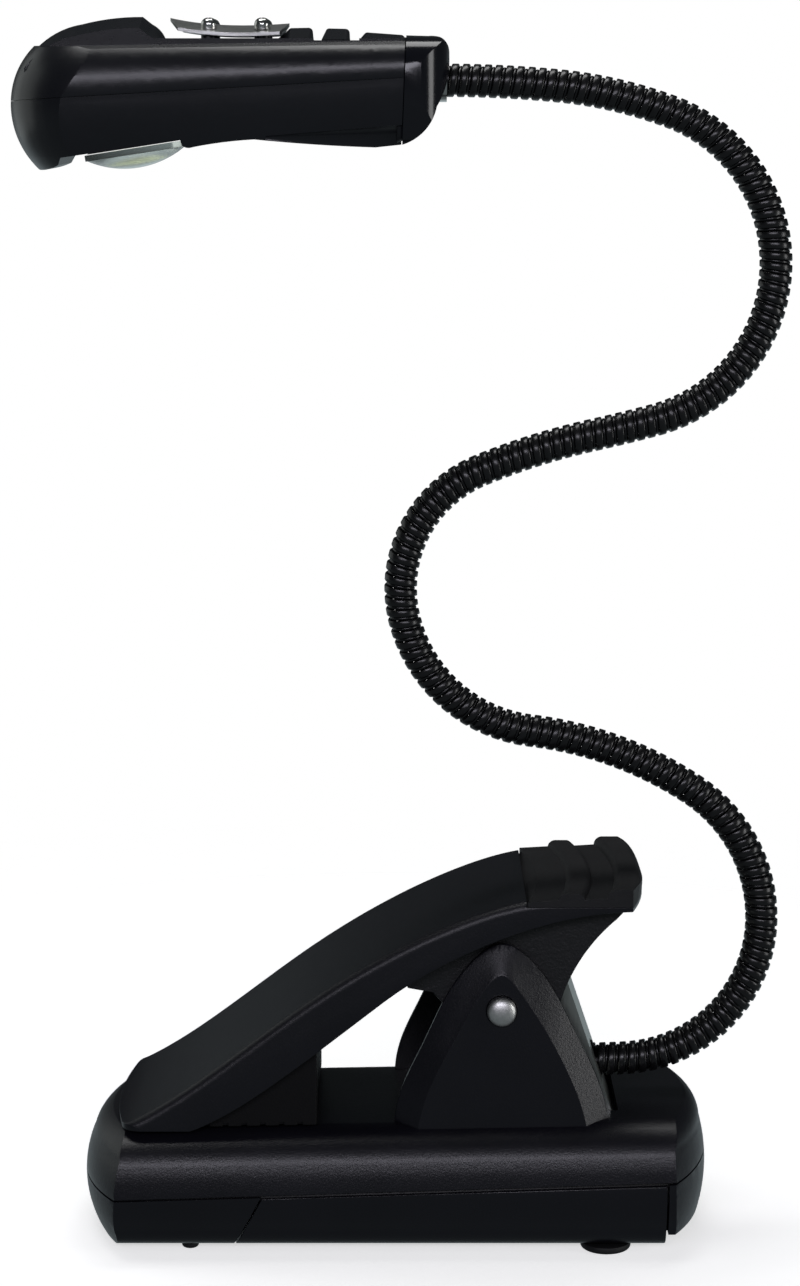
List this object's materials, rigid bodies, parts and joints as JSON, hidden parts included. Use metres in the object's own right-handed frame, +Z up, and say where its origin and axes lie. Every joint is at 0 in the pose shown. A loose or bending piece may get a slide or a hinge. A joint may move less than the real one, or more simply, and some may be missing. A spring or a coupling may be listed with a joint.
{
  "type": "clip on reading lamp",
  "caption": "Clip-on reading lamp: a battery base with a sprung clip lever, a bendable gooseneck and a small LED head with a slide switch.",
  "frame": {"origin": "centre of the lamp's outline on the plane that its feet stand on", "axes": "+Z up, +X from the lamp's nose side towards the side where the gooseneck leaves the base, +Y across the base, away from a viewer who has the nose on the left"},
  "size_m": [0.1173, 0.0394, 0.1845],
  "materials": {
    "shell_black": "satin black with a fine spark texture",
    "core_black": "coarse grained black",
    "head_black": "semi-gloss black",
    "cap_black": "glossy black",
    "grip_rubber": "soft matt black",
    "steel": "satin plated",
    "nickel": "polished",
    "plate": "satin",
    "neck_black": "semi-gloss black",
    "lens_clear": "clear, lightly frosted",
    "reflector": "metallised",
    "led_yellow": "phosphor yellow",
    "board": "white solder mask on metal",
    "cell": "sleeved",
    "white_part": "plain"
  },
  "bodies": {
    "base": {"base_upper_shell": "shell_black", "base_lower_shell": "shell_black", "battery_cells": "cell", "battery_springs": "steel", "battery_contacts": "steel", "front_nubs": "grip_rubber", "lower_jaw_pad": "grip_rubber", "cheek_near": "shell_black", "cheek_far": "shell_black", "steel_bracket": "steel", "pivot_pin": "nickel", "torsion_spring": "steel", "neck_ferrule": "neck_black", "neck_1": "neck_black"},
    "door": {"battery_door": "shell_black", "rubber_feet": "grip_rubber"},
    "lever": {"clamp_lever": "shell_black", "lever_core": "core_black", "thumb_grip": "grip_rubber", "upper_jaw_pad": "grip_rubber"},
    "neck_lower": {"neck_2": "neck_black"},
    "neck_back": {"neck_3": "neck_black"},
    "neck_middle": {"neck_4": "neck_black"},
    "neck_front": {"neck_5": "neck_black"},
    "neck_upper": {"neck_6": "neck_black"},
    "head": {"neck_7": "neck_black", "head_collar": "nickel", "head_end_cap": "cap_black", "head_upper_shell": "head_black", "head_lower_shell": "head_black", "top_plate": "plate", "plate_screws": "nickel", "switch_body": "white_part", "led_board": "board", "led": "led_yellow", "reflector_cup": "reflector", "lens": "lens_clear", "lens_bezel": "head_black"},
    "switch": {"switch_knob": "head_black"}
  },
  "joints": [
    {"name": "clip_open", "type": "hinge", "parent": "base", "child": "lever", "pos_m": [0.015, 0, 0.0368], "axis": [0, 1, 0], "range_deg": [0, 22], "stiffness_Nm_per_rad": 0.3, "springref_deg": -45.84},
    {"name": "battery_door_open", "type": "hinge", "parent": "base", "child": "door", "pos_m": [0.0395, 0, 0.0027], "axis": [0, -1, 0], "range_deg": [0, 95]},
    {"name": "neck_lean", "type": "hinge", "parent": "base", "child": "neck_lower", "pos_m": [0.04616, 0, 0.0288], "axis": [0, 1, 0], "range_deg": [-12, 15]},
    {"name": "neck_sway_low", "type": "hinge", "parent": "neck_lower", "child": "neck_back", "pos_m": [0.042, 0, 0.06865], "axis": [0.5075, 0, 0.8616], "range_deg": [-20, 20]},
    {"name": "neck_fold_low", "type": "hinge", "parent": "neck_back", "child": "neck_middle", "pos_m": [0.00226, 0, 0.08861], "axis": [0, 1, 0], "range_deg": [-20, 20]},
    {"name": "neck_sway_high", "type": "hinge", "parent": "neck_middle", "child": "neck_front", "pos_m": [0.03402, 0, 0.1228], "axis": [-0.2388, 0, 0.9711], "range_deg": [-22, 22]},
    {"name": "neck_fold_high", "type": "hinge", "parent": "neck_front", "child": "neck_upper", "pos_m": [0.05459, 0, 0.15681], "axis": [0, 1, 0], "range_deg": [-22, 22]},
    {"name": "head_tilt", "type": "hinge", "parent": "neck_upper", "child": "head", "pos_m": [0.01712, 0, 0.17475], "axis": [0, 1, 0], "range_deg": [-25, 25]},
    {"name": "switch_slide", "type": "slide", "parent": "head", "child": "switch", "axis": [1, 0, 0], "range_m": [-0.0011, 0.0011]}
  ]
}
